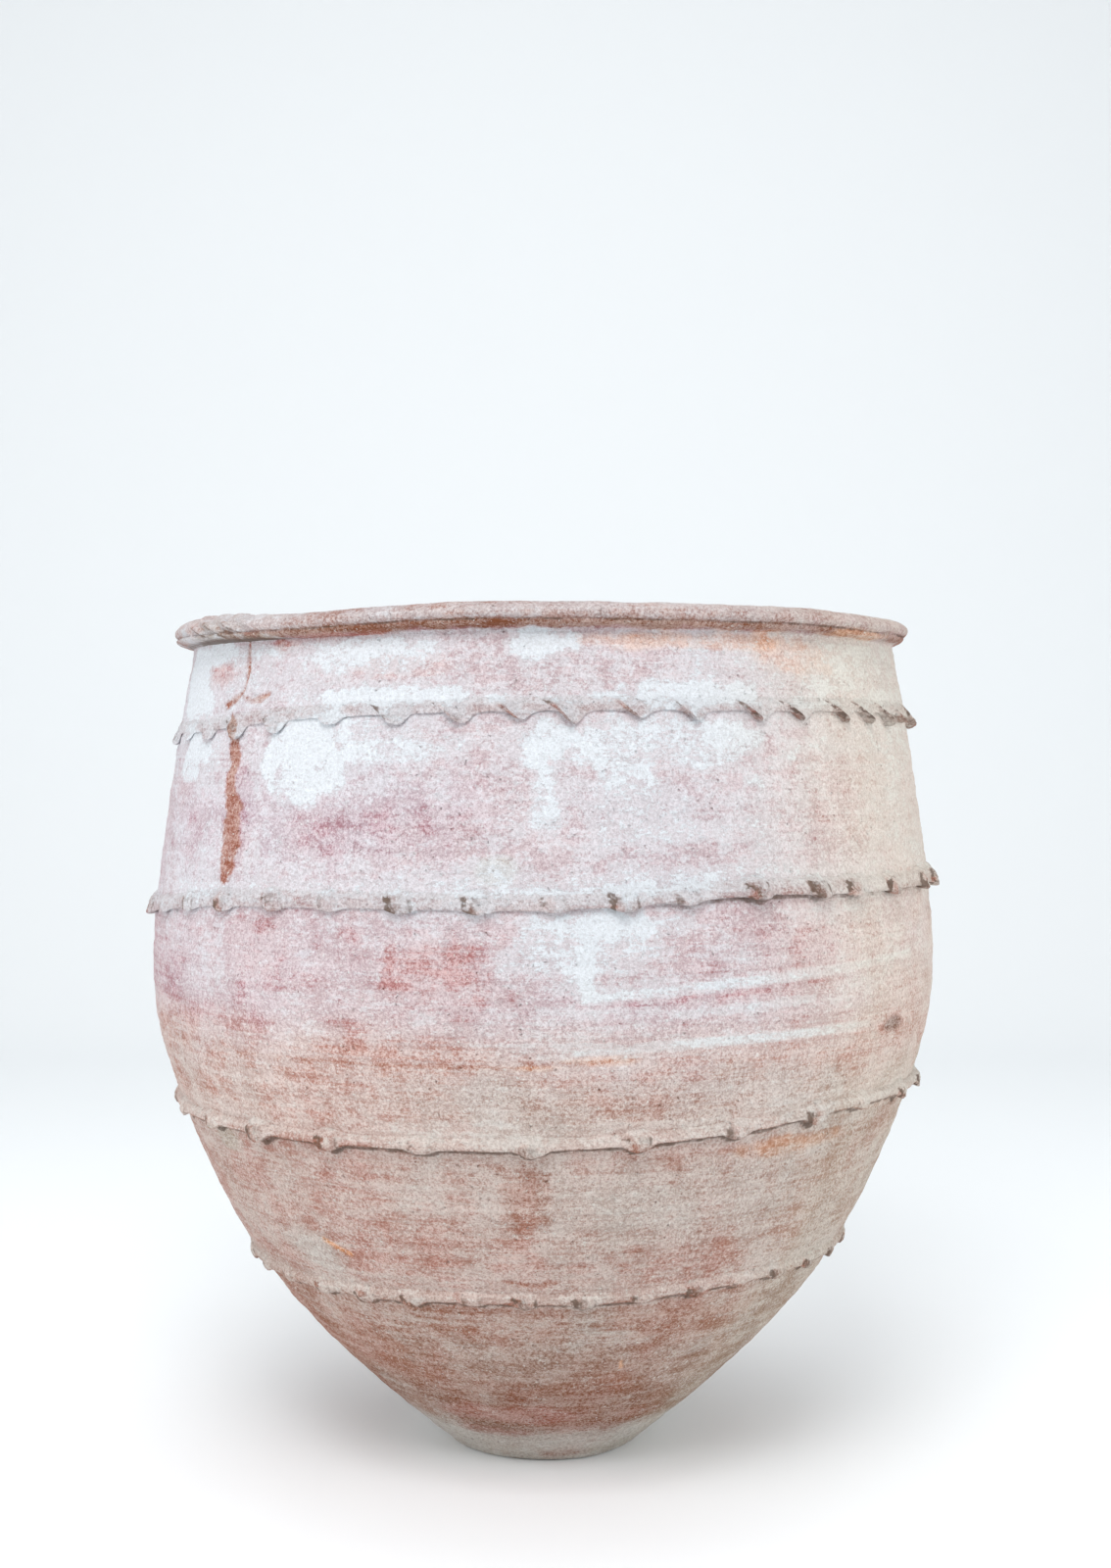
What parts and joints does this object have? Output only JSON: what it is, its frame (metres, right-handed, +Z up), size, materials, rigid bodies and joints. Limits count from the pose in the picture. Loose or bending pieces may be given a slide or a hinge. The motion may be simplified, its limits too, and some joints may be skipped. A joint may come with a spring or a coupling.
{
  "type": "storage jar",
  "caption": "Large wide-mouthed terracotta storage jar with a rolled rim, a deep belly narrowing to a small flat foot, and thumb-pressed clay cordons round the wall.",
  "frame": {"origin": "centre of the underside of the foot, on the ground", "axes": "+Z up along the jar's axis, -Y the front in the picture, +X the jar's right as seen from the front"},
  "size_m": [0.8104, 0.8108, 0.842],
  "materials": {
    "limewashed_terracotta": "matt pink fired clay under a worn, streaked white lime haze",
    "bare_terracotta": "matt red-pink fired clay, weathered and a little dusty",
    "cordon_terracotta": "matt fired clay with thumb marks, dirt in the hollows and lime on the crests"
  },
  "bodies": {
    "root": {"floor_disc": "bare_terracotta", "foot_course": "bare_terracotta", "lower_course": "bare_terracotta", "belly_coil": "limewashed_terracotta", "belly_course": "limewashed_terracotta", "shoulder_course": "limewashed_terracotta", "neck_course": "limewashed_terracotta", "rim_roll": "bare_terracotta", "foot_cordon": "cordon_terracotta", "belly_cordon": "cordon_terracotta", "shoulder_cordon": "cordon_terracotta", "neck_cordon": "cordon_terracotta"}
  },
  "joints": []
}
